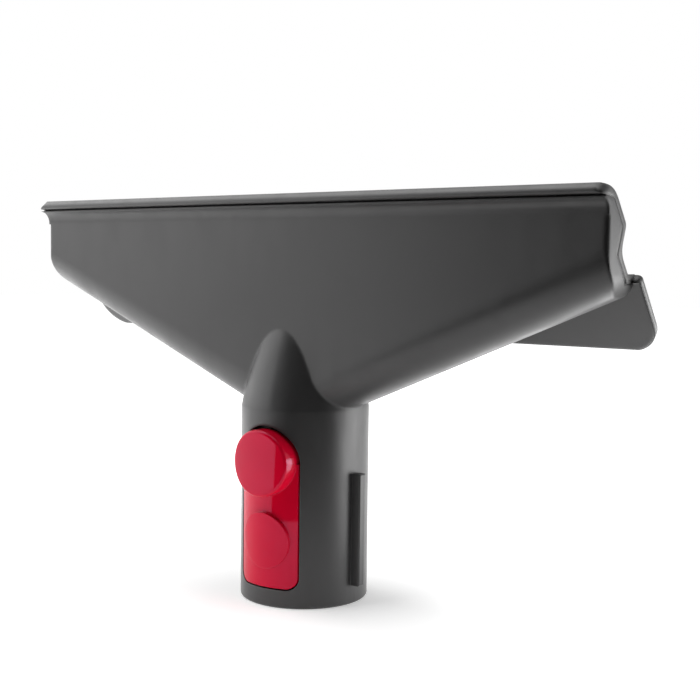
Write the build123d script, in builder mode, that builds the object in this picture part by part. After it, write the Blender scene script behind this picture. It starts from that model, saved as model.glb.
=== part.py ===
# Vacuum mattress nozzle: a wide fan duct on a quick-release collar, with an inclined sole.
# The frame's origin is the centre of the collar's open end. +Z runs up the collar to the mouth,
# X runs along the mouth and -Y is the side of the red lever. Sizes are in millimetres.
import os
from math import atan, cos, degrees, radians, sin

from build123d import *

os.makedirs("parts", exist_ok=True)

# Fan duct
mouth_width = 218.4
fan_front = 13.6
fan_back = 4.5
fan_foot_z = 54.0
fan_rise = 0.42
fan_foot_radius = 30.0
fan_wall = 2.0
fan_front_round = 11.5
fan_back_round = 3.0
fan_end_round = 1.2
fan_inner_round = 0.5
fan_corner_radius = 9.0
fan_corner_z = 105.0

# Collar and neck
collar_radius = 20.6
collar_wall = 1.8
collar_height = 61.7
collar_edge_round = 0.8
neck_mid_radius = 18.1
neck_mid_height = 11.5
neck_tip_radius = 12.4
neck_tip_height = 27.8
neck_cap_radius = 4.0
neck_cap_height = 36.8
neck_wall = 2.2
neck_back_clearance = 1.5
rail_y = -0.7
rail_width = 3.0
rail_reach = 3.05
rail_bottom_z = 6.1
rail_top_z = 41.7
rail_round = 0.5

# Sole, drawn in its own plane: u runs down the sole from the front to the rear, v stands off it
sole_y = 9.9
sole_z = 104.3
sole_lean = 40.7
sole_wall = 2.2
lip_u = -35.7
lip_v = -3.9
lip_height = 4.2
land_start_u = -30.0
land_end_u = -18.6
land_v = 0.0
channel_front_u = -14.8
channel_rear_u = -7.0
channel_v = -7.2
rear_start_u = -4.4
rear_v = -3.4
rear_overhang = 1.9
rear_top_u = -4.2
rear_top_radius = 1.5
rear_end_u = 22.7
rear_edge_round = 1.2
slot_width = 6.4
slot_end_margin = 9.0
lip_corner_radius = 3.0
rear_corner_radius = 9.0
lip_round = 0.9
land_start_round = 9.0
land_end_round = 2.0
channel_front_round = 4.5
channel_rear_round = 2.0
rear_start_round = 2.0
seam_gap = 0.6
seam_depth = 3.6

# Flange of the duct under the lip
flange_setback = 2.2
flange_edge = 0.3
cove_height = 4.0

# Wand socket
socket_radius = 15.0
socket_wall = 1.2
socket_height = 58.0
socket_flange = 1.6
wand_stop = 1.0
seat_ledge = 0.4
slip = 0.05

# Release lever
lever_half_width = 11.0
lever_bottom_z = 6.2
lever_corner_radius = 3.5
lever_thickness = 1.7
lever_gap = 0.5
lever_clearance = 0.35
button_z = 45.4
button_radius = 10.5
button_face_y = -24.2
button_face_radius = 44.0
button_roof = 2.0
button_wall = 1.7
button_edge_round = 1.0
disc_z = 20.9
disc_radius = 8.9
disc_rise = 1.2
disc_step = 0.15
foot_width = 4.0
foot_height = 2.0
nose_z = 33.0
nose_width = 6.0
nose_height = 4.0

# Hinge and spring
pin_y = -18.2
pin_z = 13.0
pin_radius = 0.6
pin_length = 12.0
running_clearance = 0.05
knuckle_radius = 1.2
ear_width = 3.6
snap_width = 0.9
spring_radius = 3.4
spring_wire = 0.7
spring_turns = 2.0
spring_seat_y = -16.6
spring_seat_radius = 5.0

# Sizes worked out from the ones above
half_width = mouth_width / 2
rear_half_width = half_width + rear_overhang
overrun = 20.0
top_z = sole_z + 40.0
collar_bore = collar_radius - collar_wall
lever_outer = collar_radius - slip
lever_inner = lever_outer - lever_thickness
sleeve_outer = socket_radius + socket_wall
neck_back_v = rear_v - sole_wall - neck_back_clearance
button_roof_y = button_face_y + button_roof
lean_sin = sin(radians(sole_lean))
lean_cos = cos(radians(sole_lean))
rise_cos = cos(atan(fan_rise))

# The sole's section plane (u, v) and its plan plane (X, u)
sole_section = Plane(origin=(0, sole_y, sole_z), x_dir=(0, lean_sin, -lean_cos), z_dir=(1, 0, 0))
sole_plan = Plane(origin=(0, sole_y, sole_z), x_dir=(1, 0, 0), z_dir=(0, lean_cos, lean_sin))


def slide(start, end, distance):
    """The line from start to end, moved to its right by a distance, as two points."""
    run = Vector(*end) - Vector(*start)
    side = Vector(run.Y, -run.X).normalized() * distance
    return (Vector(*start) + side), (Vector(*end) + side)


def meet(first, second):
    """The point where two lines cross, each given by two points."""
    a = first[1] - first[0]
    b = second[1] - second[0]
    gap = second[0] - first[0]
    share = (gap.X * b.Y - gap.Y * b.X) / (a.X * b.Y - a.Y * b.X)
    point = first[0] + a * share
    return (point.X, point.Y)


# The sole's outer line from the lip to the rear edge, and the same line one wall further in
sole_outer = [
    (lip_u, lip_v),
    (land_start_u, land_v),
    (land_end_u, land_v),
    (channel_front_u, channel_v),
    (channel_rear_u, channel_v),
    (rear_start_u, rear_v),
    (rear_end_u, rear_v),
]
sole_lines = [slide(a, b, sole_wall) for a, b in zip(sole_outer, sole_outer[1:])]
sole_inner = [meet(a, b) for a, b in zip(sole_lines, sole_lines[1:])]
lip_tip = (lip_u + 0.1, lip_v - lip_height)


def fan_block(inset, end_round):
    """The fan duct's outside, or its inside when a wall is taken off all round."""
    reach = half_width + overrun
    foot_z = fan_foot_z + inset / rise_cos
    with BuildPart() as block:
        with BuildSketch(Plane.XZ.offset(inset - fan_back)) as wedge:
            with BuildLine():
                Polyline(
                    (-reach, top_z),
                    (-reach, foot_z + fan_rise * reach),
                    (0, foot_z),
                    (reach, foot_z + fan_rise * reach),
                    (reach, top_z),
                    close=True,
                )
            make_face()
            fillet(wedge.vertices().sort_by(Axis.Y)[0], fan_foot_radius)
        extrude(amount=fan_front + fan_back - 2 * inset)
        low_edges = block.edges().filter_by(
            lambda edge: abs(edge.center().X) < reach - 1 and edge.center().Z < top_z - 1
        )
        low_edges = low_edges.filter_by(Axis.Y, reverse=True)
        fillet(low_edges.group_by(Axis.Y)[0], fan_front_round - inset)
        low_edges = block.edges().filter_by(
            lambda edge: abs(edge.center().X) < reach - 1 and edge.center().Z < top_z - 1
        )
        low_edges = low_edges.filter_by(Axis.Y, reverse=True)
        fillet(low_edges.group_by(Axis.Y)[-1], fan_back_round - inset)
        end_x = half_width - inset
        corner = fan_corner_radius - inset
        turn = radians(66)
        with BuildSketch(Plane.XZ.offset(-fan_back - overrun)):
            with BuildLine():
                right_end = Line((end_x, top_z), (end_x, fan_corner_z))
                right_turn = CenterArc((end_x - corner, fan_corner_z), corner, 0, -degrees(turn))
                right_drop = Line(right_turn @ 1, ((right_turn @ 1).X, 0))
                foot = Line(right_drop @ 1, (-(right_drop @ 1).X, 0))
                left_drop = Line(foot @ 1, (-(right_turn @ 1).X, (right_turn @ 1).Y))
                CenterArc((corner - end_x, fan_corner_z), corner, 180, degrees(turn))
                left_end = Line((-end_x, fan_corner_z), (-end_x, top_z))
                Line(left_end @ 1, right_end @ 0)
            make_face()
        extrude(amount=fan_front + fan_back + 2 * overrun, mode=Mode.INTERSECT)
        with BuildSketch():
            with Locations((0, (fan_back - fan_front) / 2)):
                RectangleRounded(2 * end_x, fan_front + fan_back - 2 * inset, end_round)
        extrude(amount=top_z, mode=Mode.INTERSECT)
    return block.part


def sole_strip(points, length):
    """A closed outline of (u, v) points run along the mouth."""
    with BuildPart() as strip:
        with BuildSketch(sole_section):
            with BuildLine():
                Polyline(*points, close=True)
            make_face()
        extrude(amount=length / 2, both=True)
    return strip.part


def behind_neck(depth):
    """Everything above a plane under the rear plate, parallel to the sole."""
    low = neck_back_v - depth
    reach = 3 * overrun
    return sole_strip([(-reach, low), (reach, low), (reach, reach), (-reach, reach)], mouth_width)


def plan_block():
    """The sole seen square on: the mouth's rectangle and the wider rear plate, with rounded corners."""
    with BuildPart() as block:
        with BuildSketch(sole_plan) as plan:
            with BuildLine():
                Polyline(
                    (-half_width, lip_u),
                    (half_width, lip_u),
                    (half_width, rear_top_u),
                    (rear_half_width, rear_top_u),
                    (rear_half_width, rear_end_u),
                    (-rear_half_width, rear_end_u),
                    (-rear_half_width, rear_top_u),
                    (-half_width, rear_top_u),
                    close=True,
                )
            make_face()
            fillet(plan.vertices().group_by(Axis.Y)[0], lip_corner_radius)
            fillet(plan.vertices().group_by(Axis.Y)[-1], rear_corner_radius)
            rear_corners = plan.vertices().filter_by(lambda point: abs(abs(point.X) - rear_half_width) < slip)
            fillet(rear_corners.filter_by(lambda point: abs(point.Y - rear_top_u) < slip), rear_top_radius)
        extrude(amount=overrun, both=True)
    return block.part


def lever_shape(offset):
    """The lever's outline seen from the front, as a block through the collar's front wall."""
    side = lever_half_width + offset
    low = lever_bottom_z - offset
    with BuildPart() as block:
        with BuildSketch(Plane.XZ):
            with BuildLine():
                left = Line((-side, button_z), (-side, low))
                bottom = Line(left @ 1, (side, low))
                right = Line(bottom @ 1, (side, button_z))
                ThreePointArc(right @ 1, (0, button_z + side), left @ 0)
            outline = make_face()
            fillet(outline.vertices().group_by(Axis.Y)[0], lever_corner_radius + offset)
        extrude(amount=collar_radius + overrun)
    return block.part


fan_outside = fan_block(0, fan_end_round)
fan_inside = fan_block(fan_wall, fan_inner_round)

# Everything on the far side of the sole's inner line, which the duct leaves free
lip_run = (Vector(*sole_inner[0]) - Vector(*lip_tip)).normalized()
lip_side = Vector(lip_run.Y, -lip_run.X)
seam_end = Vector(*lip_tip) + lip_run * seam_depth
seam_floor = seam_end + lip_side * seam_gap
seam_start = seam_floor - lip_run * overrun
above_sole = sole_strip(
    [
        (seam_start.X, seam_start.Y),
        (seam_floor.X, seam_floor.Y),
        (seam_end.X, seam_end.Y),
        *sole_inner,
        (rear_end_u + overrun, rear_v - sole_wall),
        (rear_end_u + overrun, 2 * overrun),
        (seam_start.X, 2 * overrun),
    ],
    mouth_width + 4 * overrun,
)

# Flange under the lip, in (Y, Z)
tip_y = sole_y + lip_tip[0] * lean_sin + lip_tip[1] * lean_cos + flange_setback
tip_z = sole_z - lip_tip[0] * lean_cos + lip_tip[1] * lean_sin
with BuildPart() as flange_strip:
    with BuildSketch(Plane.YZ):
        with BuildLine():
            edge_low = tip_z - seam_gap - flange_edge
            front_edge = Line((tip_y, tip_z + 1), (tip_y, edge_low))
            underside = Line(front_edge @ 1, (-fan_front - cove_height / 2, edge_low - 0.5))
            cove = ThreePointArc(
                underside @ 1,
                (-fan_front - cove_height / 6, edge_low - 0.5 - cove_height / 3),
                (-fan_front, edge_low - 0.5 - cove_height),
            )
            inside = Line(cove @ 1, (-fan_front + fan_wall, edge_low - 0.5 - cove_height))
            rise = Line(inside @ 1, (-fan_front + fan_wall, tip_z + 1))
            Line(rise @ 1, front_edge @ 0)
        make_face()
    extrude(amount=half_width, both=True)
    add(plan_block(), mode=Mode.INTERSECT)

# Airway through the collar and the neck, with the shoulder for the sleeve
with BuildPart() as airway:
    with BuildSketch(Plane.XZ):
        with BuildLine():
            Polyline(
                (0, -1),
                (collar_bore + seat_ledge, -1),
                (collar_bore + seat_ledge, socket_flange),
                (collar_bore, socket_flange),
                (collar_bore, socket_height),
                (socket_radius - wand_stop, socket_height),
                (socket_radius - wand_stop, collar_height + neck_wall),
                (neck_tip_radius - neck_wall, collar_height + neck_tip_height - neck_wall),
                (0, collar_height + neck_tip_height),
                close=True,
            )
        make_face()
    revolve(axis=Axis.Z)
    add(behind_neck(neck_wall), mode=Mode.SUBTRACT)

# Duct body: fan, neck, collar, rails and flange in one moulding
with BuildPart() as duct_body:
    with BuildSketch(Plane.XZ):
        with BuildLine():
            floor_line = Line((0, 0), (collar_radius, 0))
            collar_line = Line(floor_line @ 1, (collar_radius, collar_height))
            neck_arc = ThreePointArc(
                collar_line @ 1,
                (neck_mid_radius, collar_height + neck_mid_height),
                (neck_tip_radius, collar_height + neck_tip_height),
            )
            cap_line = Line(neck_arc @ 1, (neck_cap_radius, collar_height + neck_cap_height))
            cap_top = Line(cap_line @ 1, (0, collar_height + neck_cap_height))
            Line(cap_top @ 1, floor_line @ 0)
        make_face()
    revolve(axis=Axis.Z)
    fillet(duct_body.edges().group_by(Axis.Z)[0], collar_edge_round)
    add(behind_neck(0), mode=Mode.SUBTRACT)
    for side in (-1, 1):
        with BuildSketch(Plane.XY.offset(rail_bottom_z)):
            with Locations((side * (collar_radius + rail_reach / 2 - collar_wall / 2), rail_y)):
                Rectangle(rail_reach + collar_wall, rail_width)
        extrude(amount=rail_top_z - rail_bottom_z)
    rail_edges = duct_body.edges().filter_by(
        lambda edge: abs(abs(edge.center().X) - collar_radius - rail_reach) < 0.01
    )
    fillet(rail_edges, rail_round)
    add(fan_outside)
    add(flange_strip.part)
    add(airway.part, mode=Mode.SUBTRACT)
    add(fan_inside, mode=Mode.SUBTRACT)
    add(lever_shape(lever_gap), mode=Mode.SUBTRACT)
    add(above_sole, mode=Mode.SUBTRACT)
duct_body.part.label = "duct_body"
export_step(duct_body.part, "parts/duct_body.step")

# The section's corners that are rounded, each with its radius
sole_rounds = [
    (sole_outer[0], lip_round),
    (lip_tip, lip_round),
    (sole_outer[1], land_start_round),
    (sole_outer[2], land_end_round),
    (sole_outer[3], channel_front_round),
    (sole_outer[4], channel_rear_round),
    (sole_outer[5], rear_start_round),
    (sole_outer[6], rear_edge_round),
    ((rear_end_u, rear_v - sole_wall), rear_edge_round / 2),
]

# Sole plate: one wall that bends from the lip over the land and channel to the rear plate
with BuildPart() as sole_plate:
    with BuildSketch(sole_section):
        with BuildLine():
            Polyline(
                *sole_outer,
                (rear_end_u, rear_v - sole_wall),
                *reversed(sole_inner),
                lip_tip,
                close=True,
            )
        make_face()
    extrude(amount=rear_half_width, both=True)
    for point, radius in sole_rounds:
        place = sole_section.from_local_coords(Vector(*point))
        long_edges = sole_plate.edges().filter_by(Axis.X)
        fillet(long_edges.sort_by_distance(place)[0], radius)
    add(plan_block(), mode=Mode.INTERSECT)
    with BuildSketch(sole_plan.offset(channel_v + sole_wall)):
        with Locations((0, (channel_front_u + channel_rear_u) / 2 + 0.6)):
            RectangleRounded(mouth_width - 2 * slot_end_margin, slot_width, slot_width / 2 - 0.1)
    extrude(amount=-3 * sole_wall, mode=Mode.SUBTRACT)
sole_plate.part.label = "sole_plate"
export_step(sole_plate.part, "parts/sole_plate.step")

# Socket sleeve: liner with its end flange, hinge ear, spring seat and nose window
with BuildPart() as socket_sleeve:
    Cylinder(sleeve_outer, socket_height, align=(Align.CENTER, Align.CENTER, Align.MIN))
    Cylinder(
        collar_bore + seat_ledge - slip,
        socket_flange,
        align=(Align.CENTER, Align.CENTER, Align.MIN),
    )
    with BuildSketch(Plane.YZ):
        with Locations((pin_y, pin_z)):
            Circle(knuckle_radius)
        with Locations(((pin_y - socket_radius) / 2, pin_z)):
            Rectangle(-pin_y - socket_radius, 2 * knuckle_radius)
    extrude(amount=ear_width / 2, both=True)
    with BuildSketch(Plane.XZ.offset(socket_radius)):
        with Locations((0, button_z)):
            Circle(spring_seat_radius)
    extrude(amount=-spring_seat_y - socket_radius)
    Cylinder(socket_radius, 3 * socket_height, mode=Mode.SUBTRACT)
    with BuildSketch(Plane.XZ):
        with Locations((0, nose_z)):
            Rectangle(nose_width + 2 * lever_clearance, nose_height + 2 * lever_clearance + 0.4)
    extrude(amount=collar_radius, mode=Mode.SUBTRACT)
    with BuildSketch(Plane.YZ):
        with Locations((pin_y, pin_z)):
            Circle(pin_radius)
    extrude(amount=ear_width, both=True, mode=Mode.SUBTRACT)
socket_sleeve.part.label = "socket_sleeve"
export_step(socket_sleeve.part, "parts/socket_sleeve.step")

# Release lever: curved panel, hollow button, inclined disc, snap-on knuckles and pusher nose
disc_tilt = degrees(atan(disc_rise / (2 * disc_radius)))
disc_low = Vector(0, -lever_outer - disc_step, disc_z - disc_radius)
with BuildPart() as disc_block:
    Cylinder(lever_outer + disc_step, 4 * button_z)
    tilted = disc_block.part.rotate(Axis(disc_low, (1, 0, 0)), disc_tilt)
with BuildPart() as disc_proud:
    with BuildSketch(Plane.XZ.offset(socket_radius)):
        with Locations((0, disc_z)):
            Circle(disc_radius)
    extrude(amount=overrun)
    add(tilted, mode=Mode.INTERSECT)

# Button: a round block with a face that curves gently about the upright
with BuildPart() as button_block:
    with BuildSketch(Plane.XZ.offset(socket_radius)):
        with Locations((0, button_z)):
            Circle(button_radius)
    extrude(amount=overrun)
    with Locations((0, button_face_y + button_face_radius, button_z)):
        Cylinder(button_face_radius, 4 * button_radius, mode=Mode.INTERSECT)
    face_edges = button_block.edges().filter_by(lambda edge: edge.center().Y < button_roof_y)
    fillet(face_edges, button_edge_round)

with BuildPart() as release_lever:
    Cylinder(lever_outer, button_z, align=(Align.CENTER, Align.CENTER, Align.MIN))
    add(lever_shape(0), mode=Mode.INTERSECT)
    add(disc_proud.part)
    add(button_block.part)
    Cylinder(lever_inner, 4 * socket_height, mode=Mode.SUBTRACT)
    with BuildSketch(Plane.XZ):
        with Locations((0, button_z)):
            Circle(button_radius - button_wall)
    extrude(amount=-button_roof_y, mode=Mode.SUBTRACT)
    # Nose that reaches through the sleeve's window to the bore's surface
    with BuildSketch(Plane.XZ.offset(socket_radius + slip)):
        with Locations((0, nose_z)):
            Rectangle(nose_width, nose_height)
    extrude(amount=lever_inner - socket_radius + lever_thickness / 2)
    # Foot under the hinge that rests on the sleeve and stops the lever from swinging out
    with BuildSketch(Plane.XZ.offset(sleeve_outer + slip)):
        with Locations((0, lever_bottom_z + foot_height)):
            Rectangle(foot_width, foot_height)
    extrude(amount=lever_inner - sleeve_outer + lever_thickness / 2)
    # Knuckles each side of the sleeve's ear, open towards the sleeve so that they snap on the pin
    with BuildSketch(Plane.YZ):
        with Locations((pin_y, pin_z)):
            Circle(knuckle_radius)
    extrude(amount=pin_length / 2, both=True)
    ear_reach = knuckle_radius + lever_clearance
    with Locations((0, pin_y, pin_z)):
        Box(ear_width + 2 * lever_clearance, 2 * ear_reach, 2 * ear_reach, mode=Mode.SUBTRACT)
    with BuildSketch(Plane.YZ):
        with Locations((pin_y, pin_z)):
            Circle(pin_radius + running_clearance)
        with Locations((pin_y + knuckle_radius, pin_z)):
            Rectangle(2 * knuckle_radius, snap_width)
    extrude(amount=pin_length / 2 + lever_clearance, both=True, mode=Mode.SUBTRACT)
release_lever.part.label = "release_lever"
export_step(release_lever.part, "parts/release_lever.step")

# Hinge pin, held in the sleeve's ear
with BuildPart() as hinge_pin:
    with BuildSketch(Plane.YZ):
        with Locations((pin_y, pin_z)):
            Circle(pin_radius)
    extrude(amount=pin_length / 2, both=True)
    chamfer(hinge_pin.edges(), pin_radius / 4)
hinge_pin.part.label = "hinge_pin"
export_step(hinge_pin.part, "parts/hinge_pin.step")

# Return spring between the sleeve's seat and the button's roof
spring_length = spring_seat_y - button_roof_y - 2 * slip - spring_wire
spring_foot = (0, spring_seat_y - slip - spring_wire / 2, button_z)
with BuildPart() as return_spring:
    with BuildLine():
        coil = Helix(
            spring_length / spring_turns,
            spring_length,
            spring_radius,
            center=spring_foot,
            direction=(0, -1, 0),
        )
    with BuildSketch(Plane(origin=coil @ 0, z_dir=coil % 0)):
        Circle(spring_wire / 2)
    sweep(path=coil)
return_spring.part.label = "return_spring"
export_step(return_spring.part, "parts/return_spring.step")
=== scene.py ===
"""Vacuum mattress nozzle: finishes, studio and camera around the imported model. Sizes in metres."""
import math

import bmesh
import bpy
from mathutils import Matrix, Vector


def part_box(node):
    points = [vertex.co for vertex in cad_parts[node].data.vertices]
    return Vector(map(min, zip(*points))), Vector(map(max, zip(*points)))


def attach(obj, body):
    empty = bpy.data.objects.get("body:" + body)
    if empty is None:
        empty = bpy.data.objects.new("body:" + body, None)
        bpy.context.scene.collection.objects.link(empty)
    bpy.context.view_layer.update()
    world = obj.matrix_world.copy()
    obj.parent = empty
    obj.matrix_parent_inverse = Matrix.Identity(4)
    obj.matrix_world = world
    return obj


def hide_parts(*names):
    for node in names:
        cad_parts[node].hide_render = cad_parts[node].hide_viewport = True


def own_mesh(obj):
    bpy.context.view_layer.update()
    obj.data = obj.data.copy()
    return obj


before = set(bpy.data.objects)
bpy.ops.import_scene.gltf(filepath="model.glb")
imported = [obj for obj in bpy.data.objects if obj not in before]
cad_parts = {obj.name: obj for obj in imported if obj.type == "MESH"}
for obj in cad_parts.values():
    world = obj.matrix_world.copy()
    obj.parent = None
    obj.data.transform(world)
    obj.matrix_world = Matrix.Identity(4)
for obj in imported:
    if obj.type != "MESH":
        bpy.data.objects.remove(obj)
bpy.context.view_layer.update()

# Camera, as it stood for the photograph
CAMERA_PLACE = (0.23464, -0.29883, 0.10603)
CAMERA_TURN = 36.0
CAMERA_PITCH = 3.98
CAMERA_ROLL = 0.708
CAMERA_LENS = 60.58
SENSOR_WIDTH = 36.0

# Finishes, as linear colours
GREY_PLASTIC = (0.021, 0.0205, 0.0209)
GREY_PLASTIC_LIGHT = (0.027, 0.0264, 0.0268)
# Lighter corners: worn plastic and partly a painted edge highlight
GREY_EDGE_WEAR_AND_HIGHLIGHT = (0.10, 0.098, 0.098)
GREY_LINER = (0.014, 0.014, 0.014)
RED_PLASTIC = (0.56, 0.002, 0.022)
RED_PLASTIC_DEEP = (0.49, 0.0015, 0.018)
RED_SHEEN = (1.0, 0.72, 1.25)
STEEL = (0.56, 0.56, 0.57)
STEEL_SHADE = 0.8

# Finishes, as the lowest and highest roughness
DUCT_GLOSS = (0.34, 0.44)
SOLE_GLOSS = (0.32, 0.42)
LINER_GLOSS = (0.48, 0.58)
RED_GLOSS = (0.03, 0.07)
STEEL_GLOSS = (0.22, 0.36)

# Finishes, as the strength of their reflections
GREY_IOR = 1.5
GREY_SPECULAR = 0.45
RED_IOR = 1.52
RED_SPECULAR = 0.16

# Grain sizes, as noise cells per metre
MOULD_GRAIN = 2200.0
FLOW_MARKS = 14.0
HANDLING_MARKS = 160.0
MOULD_SPECKS = 900.0
# Patches where the corners are lightened, as wear and as a painted edge highlight
WEAR_AND_HIGHLIGHT_PATCHES = 70.0
RED_GRAIN = 260.0
RED_FLOW_MARKS = 45.0
THUMB_RUBBING = 420.0
WIRE_STREAKS = 900.0

# Relief of the grain
GRAIN_DEPTH = 0.00002
MOULD_GRAIN_STRENGTH = 0.28
RED_GRAIN_STRENGTH = 0.05

# Corners, crisp up to the collar's top and softer above it
CRISP_CORNER = 0.0003
GREY_SOFT_CORNER = 0.0016
RED_SOFT_CORNER = 0.0003
# Width of the lighter corners, partly wear and partly a painted edge highlight
WEAR_AND_HIGHLIGHT_CORNER = 0.0006
COLLAR_TOP_LOW = 0.050
COLLAR_TOP_HIGH = 0.058

# Return spring, a coil of round wire between its seat and the button
SPRING_WIRE = 0.0007
SPRING_TURNS = 2.0
SPRING_STEPS = 72
SPRING_WIRE_SIDES = 14

# Studio
FLOOR_SIZE = 6.0
FLOOR_COLOUR = (0.90, 0.90, 0.90)
FLOOR_SHADED = 0.03
FLOOR_WHITE = 0.22
FLOOR_BOUNCE = 0.6
FLOOR_SHADE_LIFT = 0.3
TABLE_EDGE = 0.145
TABLE_CARD_LIFT = 0.0005
ROOM_CARD_RADIUS = 1.3
ROOM_CARD_HEIGHT = 1.8
ROOM_CARD_FROM = -30.0
ROOM_CARD_TO = 118.0
TABLE_CARD_FROM = -19.0
TABLE_CARD_TO = 98.0
CARD_STEPS = 24
CARD_COLOUR = (0.012, 0.012, 0.012)
ROOM_LIGHT = 0.2

# Soft boxes: name, place, aim, width, height and power in watts
OBJECT_MIDDLE = (0.0, 0.0, 0.07)
COLLAR_SIDE = (0.02, 0.0, 0.03)
SOFT_BOXES = (
    ("left_box", (-0.40, -0.17, 0.40), OBJECT_MIDDLE, 0.80, 0.76, 3.8),
    ("right_rim", (0.34, 0.34, 0.06), OBJECT_MIDDLE, 0.40, 0.11, 0.5),
    ("collar_kicker", (0.107, 0.052, 0.028), COLLAR_SIDE, 0.08, 0.06, 0.058),
    ("top_box", (0.0, 0.1, 1.1), OBJECT_MIDDLE, 1.0, 0.8, 6.0),
)


def new_material(name):
    """An empty material with its node tree, output and principled shader."""
    material = bpy.data.materials.new(name)
    material.use_nodes = True
    tree = material.node_tree
    shader = tree.nodes["Principled BSDF"]
    return material, tree, shader


def add_node(tree, kind, **inputs):
    """A node of one kind, with its named sockets set."""
    node = tree.nodes.new(kind)
    for socket, value in inputs.items():
        node.inputs[socket.replace("_", " ")].default_value = value
    return node


def object_noise(tree, scale, detail, roughness=0.5, stretch=(1.0, 1.0, 1.0)):
    """Noise fixed to the piece, with cells that may be stretched along an axis."""
    place = tree.nodes.new("ShaderNodeTexCoord")
    mapping = add_node(tree, "ShaderNodeMapping", Scale=stretch)
    noise = add_node(tree, "ShaderNodeTexNoise", Scale=scale, Detail=detail, Roughness=roughness)
    tree.links.new(place.outputs["Object"], mapping.inputs["Vector"])
    tree.links.new(mapping.outputs["Vector"], noise.inputs["Vector"])
    return noise.outputs["Fac"]


def value_range(tree, source, low, high, from_low=0.3, from_high=0.7):
    """A value mapped from one range to another. The first range is where noise mostly lies, unless given."""
    node = add_node(
        tree, "ShaderNodeMapRange", From_Min=from_low, From_Max=from_high, To_Min=low, To_Max=high
    )
    tree.links.new(source, node.inputs["Value"])
    return node.outputs["Result"]


def blend_colours(tree, factor, first, second):
    """A colour between two, where each is a colour or another node's output."""
    node = tree.nodes.new("ShaderNodeMix")
    node.data_type = "RGBA"
    tree.links.new(factor, node.inputs["Factor"])
    for socket, colour in (("A", first), ("B", second)):
        target = [entry for entry in node.inputs if entry.name == socket and entry.type == "RGBA"][0]
        if isinstance(colour, tuple):
            target.default_value = (*colour, 1.0)
        else:
            tree.links.new(colour, target)
    return [entry for entry in node.outputs if entry.type == "RGBA"][0]


def edge_mask(tree, radius):
    """One on the corners of a moulding and nothing on its flats."""
    rounded = add_node(tree, "ShaderNodeBevel", Radius=radius)
    rounded.samples = 4
    flat = tree.nodes.new("ShaderNodeNewGeometry")
    turn = tree.nodes.new("ShaderNodeVectorMath")
    turn.operation = "DOT_PRODUCT"
    tree.links.new(rounded.outputs["Normal"], turn.inputs[0])
    tree.links.new(flat.outputs["Normal"], turn.inputs[1])
    return value_range(tree, turn.outputs["Value"], 1.0, 0.0, 0.72, 0.98)


def add_grain(tree, shader, scale, strength, softened):
    """Fine relief on the shader's normal, with crisp corners on the collar and softer ones above it."""
    grain = object_noise(tree, scale, 3.0, 0.6)
    bump = add_node(tree, "ShaderNodeBump", Strength=strength, Distance=GRAIN_DEPTH)
    corners = tree.nodes.new("ShaderNodeBevel")
    corners.samples = 6
    place = tree.nodes.new("ShaderNodeTexCoord")
    height = tree.nodes.new("ShaderNodeSeparateXYZ")
    tree.links.new(place.outputs["Object"], height.inputs["Vector"])
    radius = value_range(
        tree, height.outputs["Z"], CRISP_CORNER, softened, COLLAR_TOP_LOW, COLLAR_TOP_HIGH
    )
    tree.links.new(radius, corners.inputs["Radius"])
    tree.links.new(corners.outputs["Normal"], bump.inputs["Normal"])
    tree.links.new(grain, bump.inputs["Height"])
    tree.links.new(bump.outputs["Normal"], shader.inputs["Normal"])


def moulded_grey(name, base, light, edge, gloss):
    """Satin moulded plastic: flow marks in the colour, eroded-tool grain, and lighter corners that are
    partly wear and partly a painted edge highlight.
    """
    material, tree, shader = new_material(name)
    flow = value_range(tree, object_noise(tree, FLOW_MARKS, 2.0), 0.0, 1.0)
    body = blend_colours(tree, flow, base, light)
    specks = value_range(tree, object_noise(tree, MOULD_SPECKS, 2.0), 0.0, 0.25, 0.55, 0.75)
    body = blend_colours(tree, specks, body, light)
    # Corners lightened in patches: partly wear, partly a painted edge highlight
    corners = edge_mask(tree, WEAR_AND_HIGHLIGHT_CORNER)
    patchy = value_range(tree, object_noise(tree, WEAR_AND_HIGHLIGHT_PATCHES, 4.0, 0.65), 0.0, 0.55, 0.42, 0.62)
    wear_and_highlight = tree.nodes.new("ShaderNodeMath")
    wear_and_highlight.operation = "MULTIPLY"
    tree.links.new(corners, wear_and_highlight.inputs[0])
    tree.links.new(patchy, wear_and_highlight.inputs[1])
    body = blend_colours(tree, wear_and_highlight.outputs["Value"], body, edge)
    tree.links.new(body, shader.inputs["Base Color"])
    handled = object_noise(tree, HANDLING_MARKS, 4.0, 0.6, (1.0, 1.0, 0.35))
    tree.links.new(value_range(tree, handled, *gloss), shader.inputs["Roughness"])
    shader.inputs["IOR"].default_value = GREY_IOR
    shader.inputs["Specular IOR Level"].default_value = GREY_SPECULAR
    add_grain(tree, shader, MOULD_GRAIN, MOULD_GRAIN_STRENGTH, GREY_SOFT_CORNER)
    return material


def gloss_red():
    """Polished red plastic with faint flow marks and fine rubbing from the thumb."""
    material, tree, shader = new_material("gloss_red_plastic")
    flow = value_range(tree, object_noise(tree, RED_FLOW_MARKS, 2.0), 0.0, 1.0)
    tree.links.new(blend_colours(tree, flow, RED_PLASTIC, RED_PLASTIC_DEEP), shader.inputs["Base Color"])
    rubbed = object_noise(tree, THUMB_RUBBING, 5.0, 0.7, (1.0, 1.0, 0.2))
    tree.links.new(value_range(tree, rubbed, *RED_GLOSS), shader.inputs["Roughness"])
    shader.inputs["IOR"].default_value = RED_IOR
    shader.inputs["Specular IOR Level"].default_value = RED_SPECULAR
    shader.inputs["Specular Tint"].default_value = (*RED_SHEEN, 1.0)
    add_grain(tree, shader, RED_GRAIN, RED_GRAIN_STRENGTH, RED_SOFT_CORNER)
    return material


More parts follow.
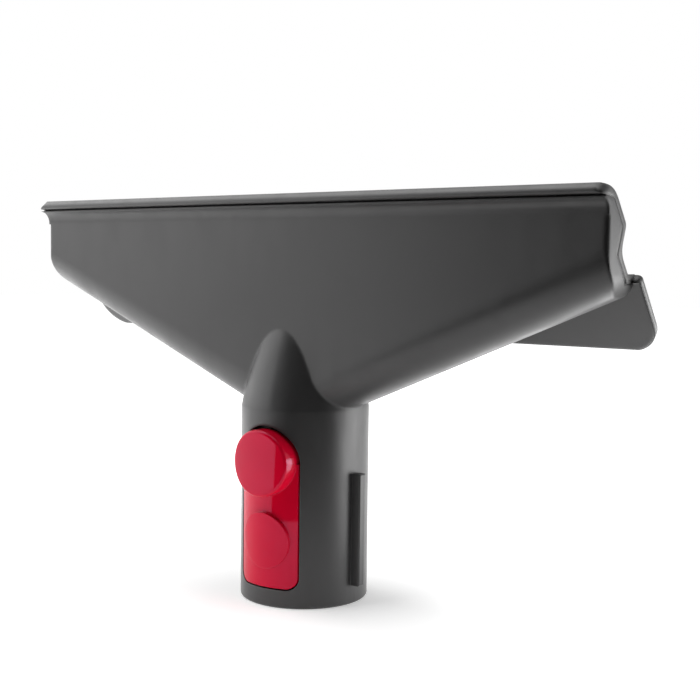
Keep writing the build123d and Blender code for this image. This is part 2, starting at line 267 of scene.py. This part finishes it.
def drawn_steel():
    """Bright drawn wire."""
    material, tree, shader = new_material("drawn_steel")
    streaks = object_noise(tree, WIRE_STREAKS, 3.0, 0.6, (0.1, 1.0, 1.0))
    shade = value_range(tree, streaks, 0.0, 1.0)
    darker = tuple(channel * STEEL_SHADE for channel in STEEL)
    tree.links.new(blend_colours(tree, shade, STEEL, darker), shader.inputs["Base Color"])
    tree.links.new(value_range(tree, streaks, *STEEL_GLOSS), shader.inputs["Roughness"])
    shader.inputs["Metallic"].default_value = 1.0
    return material


def dress(node, material):
    """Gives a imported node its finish."""
    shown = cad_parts[node]
    for slot in shown.material_slots:
        slot.material = material


def white_room(tree, shader, lit_strength):
    """White where the camera or a reflection looks, and a plain level where it lights the object."""
    path = tree.nodes.new("ShaderNodeLightPath")
    seen = tree.nodes.new("ShaderNodeMath")
    seen.operation = "MAXIMUM"
    mirrored = tree.nodes.new("ShaderNodeMath")
    mirrored.operation = "MAXIMUM"
    tree.links.new(path.outputs["Is Camera Ray"], seen.inputs[0])
    tree.links.new(path.outputs["Is Glossy Ray"], mirrored.inputs[0])
    tree.links.new(path.outputs["Is Transmission Ray"], mirrored.inputs[1])
    tree.links.new(mirrored.outputs["Value"], seen.inputs[1])
    strength = value_range(tree, seen.outputs["Value"], lit_strength, 1.0, 0.0, 1.0)
    tree.links.new(strength, shader.inputs["Strength"])


def make_world():
    """The white studio around the object."""
    world = bpy.data.worlds.new("studio")
    world.use_nodes = True
    bpy.context.scene.world = world
    background = world.node_tree.nodes["Background"]
    background.inputs["Color"].default_value = (1.0, 1.0, 1.0, 1.0)
    white_room(world.node_tree, background, ROOM_LIGHT)


def mesh_object(name, shape):
    """A finished shape as an object of its own."""
    mesh = bpy.data.meshes.new(name)
    shape.to_mesh(mesh)
    shape.free()
    made = bpy.data.objects.new(name, mesh)
    bpy.context.scene.collection.objects.link(made)
    return made


def make_return_spring(material):
    """The coil between the sleeve's seat and the button: a round wire swept about the coil's axis."""
    low, high = (Vector(corner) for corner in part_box("return_spring"))
    middle = (low + high) / 2
    wire = SPRING_WIRE / 2
    coil_radius = (high.x - low.x) / 2 - wire
    rise = high.y - low.y - SPRING_WIRE
    shape = bmesh.new()
    start = Matrix.Translation((middle.x + coil_radius, high.y - wire, middle.z))
    bmesh.ops.create_circle(shape, segments=SPRING_WIRE_SIDES, radius=wire, matrix=start)
    bmesh.ops.spin(
        shape,
        geom=[*shape.verts, *shape.edges],
        cent=(middle.x, high.y - wire, middle.z),
        axis=(0.0, 1.0, 0.0),
        dvec=(0.0, -rise / SPRING_STEPS, 0.0),
        angle=math.radians(360.0 * SPRING_TURNS),
        steps=SPRING_STEPS,
    )
    rims = [edge for edge in shape.edges if edge.is_boundary]
    bmesh.ops.holes_fill(shape, edges=rims)
    bmesh.ops.recalc_face_normals(shape, faces=shape.faces)
    for face in shape.faces:
        face.smooth = len(face.verts) == 4
    coil = mesh_object("return_coil", shape)
    coil.data.materials.append(material)
    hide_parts("return_spring")
    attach(coil, "nozzle")
    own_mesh(coil)


def make_floor():
    """A white floor that keeps the shadow near the collar and turns pure white further out."""
    shape = bmesh.new()
    bmesh.ops.create_grid(shape, x_segments=1, y_segments=1, size=FLOOR_SIZE / 2)
    floor = mesh_object("floor", shape)
    material, tree, shader = new_material("white_floor")
    shader.inputs["Base Color"].default_value = (*FLOOR_COLOUR, 1.0)
    shader.inputs["Roughness"].default_value = 0.9
    shader.inputs["Specular IOR Level"].default_value = 0.0
    shader.inputs["Emission Color"].default_value = (1.0, 1.0, 1.0, 1.0)
    place = tree.nodes.new("ShaderNodeTexCoord")
    reach = tree.nodes.new("ShaderNodeVectorMath")
    reach.operation = "LENGTH"
    tree.links.new(place.outputs["Object"], reach.inputs[0])
    seen = value_range(tree, reach.outputs["Value"], FLOOR_SHADE_LIFT, 1.0, FLOOR_SHADED, FLOOR_WHITE)
    path = tree.nodes.new("ShaderNodeLightPath")
    bounce = FLOOR_BOUNCE - FLOOR_SHADE_LIFT
    thrown = value_range(tree, path.outputs["Is Camera Ray"], bounce, 0.0, 0.0, 1.0)
    glow = tree.nodes.new("ShaderNodeMath")
    glow.operation = "ADD"
    tree.links.new(seen, glow.inputs[0])
    tree.links.new(thrown, glow.inputs[1])
    tree.links.new(glow.outputs["Value"], shader.inputs["Emission Strength"])
    floor.data.materials.append(material)


def make_dark_card(name, near, far, start, end):
    """A dark strip between two points, each a reach and a height, swept round the front by two angles."""
    shape = bmesh.new()
    first = math.radians(start)
    outward = Vector((math.sin(first), -math.cos(first), 0.0))
    corners = [outward * reach + Vector((0.0, 0.0, height)) for reach, height in (near, far)]
    ends = [shape.verts.new(corner) for corner in corners]
    side = shape.edges.new(ends)
    bmesh.ops.spin(
        shape,
        geom=[*ends, side],
        cent=(0.0, 0.0, 0.0),
        axis=(0.0, 0.0, 1.0),
        angle=math.radians(end - start),
        steps=CARD_STEPS,
    )
    card = mesh_object(name, shape)
    material, _, shader = new_material(name)
    shader.inputs["Base Color"].default_value = (*CARD_COLOUR, 1.0)
    shader.inputs["Roughness"].default_value = 1.0
    shader.inputs["Specular IOR Level"].default_value = 0.0
    card.data.materials.append(material)
    card.visible_camera = False
    return card


def make_dark_room():
    """The dark room behind the camera and past the table's edge, which gives the grey its contrast."""
    foot = (ROOM_CARD_RADIUS, TABLE_CARD_LIFT)
    top = (ROOM_CARD_RADIUS, ROOM_CARD_HEIGHT)
    make_dark_card("room_card", foot, top, ROOM_CARD_FROM, ROOM_CARD_TO)
    near = (TABLE_EDGE, TABLE_CARD_LIFT)
    table_card = make_dark_card("table_card", near, foot, TABLE_CARD_FROM, TABLE_CARD_TO)
    table_card.visible_shadow = False


def soft_box(name, place, aim, width, height, power):
    """A rectangular lamp turned to its aim, which the camera doesn't see."""
    lamp = bpy.data.lights.new(name, "AREA")
    lamp.shape = "RECTANGLE"
    lamp.size = width
    lamp.size_y = height
    lamp.energy = power
    box = bpy.data.objects.new(name, lamp)
    bpy.context.scene.collection.objects.link(box)
    box.location = place
    box.rotation_euler = (Vector(aim) - Vector(place)).to_track_quat("-Z", "Y").to_euler()
    box.visible_camera = False


def make_lights():
    """All the soft boxes of the studio."""
    for name, place, aim, width, height, power in SOFT_BOXES:
        soft_box(name, place, aim, width, height, power)


def make_camera():
    """The camera at its place, turned, pitched and rolled."""
    turn = math.radians(CAMERA_TURN)
    pitch = math.radians(CAMERA_PITCH)
    roll = math.radians(CAMERA_ROLL)
    back = Vector((math.sin(turn) * math.cos(pitch), -math.cos(turn) * math.cos(pitch), math.sin(pitch)))
    level = Vector((math.cos(turn), math.sin(turn), 0.0))
    upright = back.cross(level)
    right = level * math.cos(roll) + upright * math.sin(roll)
    up = upright * math.cos(roll) - level * math.sin(roll)
    data = bpy.data.cameras.new("camera")
    data.sensor_width = SENSOR_WIDTH
    data.lens = CAMERA_LENS
    data.clip_start = 0.01
    camera = bpy.data.objects.new("camera", data)
    bpy.context.scene.collection.objects.link(camera)
    turned = Matrix((right, up, back)).transposed().to_4x4()
    camera.matrix_world = Matrix.Translation(CAMERA_PLACE) @ turned
    bpy.context.scene.camera = camera


# Each grey's fourth argument is its lighter corners: wear and a painted edge highlight
duct_grey = moulded_grey(
    "moulded_grey_plastic", GREY_PLASTIC, GREY_PLASTIC_LIGHT, GREY_EDGE_WEAR_AND_HIGHLIGHT, DUCT_GLOSS
)
sole_grey = moulded_grey(
    "sole_grey_plastic", GREY_PLASTIC, GREY_PLASTIC_LIGHT, GREY_EDGE_WEAR_AND_HIGHLIGHT, SOLE_GLOSS
)
liner_grey = moulded_grey(
    "liner_grey_plastic", GREY_LINER, GREY_PLASTIC, GREY_PLASTIC_LIGHT, LINER_GLOSS
)
steel = drawn_steel()
dress("duct_body", duct_grey)
dress("sole_plate", sole_grey)
dress("socket_sleeve", liner_grey)
dress("release_lever", gloss_red())
dress("hinge_pin", steel)
make_return_spring(steel)

make_world()
make_floor()
make_dark_room()
make_lights()
make_camera()
bpy.context.scene.view_settings.view_transform = "Standard"
